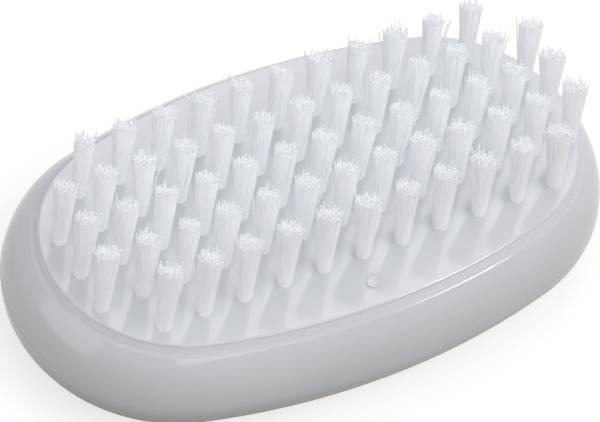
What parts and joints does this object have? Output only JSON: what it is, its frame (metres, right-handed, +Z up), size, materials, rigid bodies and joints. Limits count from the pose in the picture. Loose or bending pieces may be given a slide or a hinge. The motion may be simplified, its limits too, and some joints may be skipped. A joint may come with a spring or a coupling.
{
  "type": "nail brush",
  "caption": "Oval nail brush lying on its back: a smooth convex grip with a flat back, a raised bristle plate set into it, and a field of short flared bristle tufts held by hidden anchors.",
  "frame": {"origin": "centre of the flat back that the brush lies on", "axes": "+X along the brush's length, +Y across its width, +Z up through the bristles"},
  "size_m": [0.0954, 0.0554, 0.0303],
  "materials": {
    "shell_plastic": "glossy milky moulded plastic",
    "plate_plastic": "glossy milky moulded plastic",
    "bristle_nylon": "white nylon filaments, trimmed and slightly flared",
    "anchor_wire": "flat drawn wire"
  },
  "bodies": {
    "root": {"back_shell": "shell_plastic", "bristle_plate": "plate_plastic", "tufts_column_01": "bristle_nylon", "tufts_column_02": "bristle_nylon", "tufts_column_03": "bristle_nylon", "tufts_column_04": "bristle_nylon", "tufts_column_05": "bristle_nylon", "tufts_column_06": "bristle_nylon", "tufts_column_07": "bristle_nylon", "tufts_column_08": "bristle_nylon", "tufts_column_09": "bristle_nylon", "tufts_column_10": "bristle_nylon", "tufts_column_11": "bristle_nylon", "tufts_column_12": "bristle_nylon", "tufts_column_13": "bristle_nylon", "anchors_column_01": "anchor_wire", "anchors_column_02": "anchor_wire", "anchors_column_03": "anchor_wire", "anchors_column_04": "anchor_wire", "anchors_column_05": "anchor_wire", "anchors_column_06": "anchor_wire", "anchors_column_07": "anchor_wire", "anchors_column_08": "anchor_wire", "anchors_column_09": "anchor_wire", "anchors_column_10": "anchor_wire", "anchors_column_11": "anchor_wire", "anchors_column_12": "anchor_wire", "anchors_column_13": "anchor_wire"}
  },
  "joints": []
}
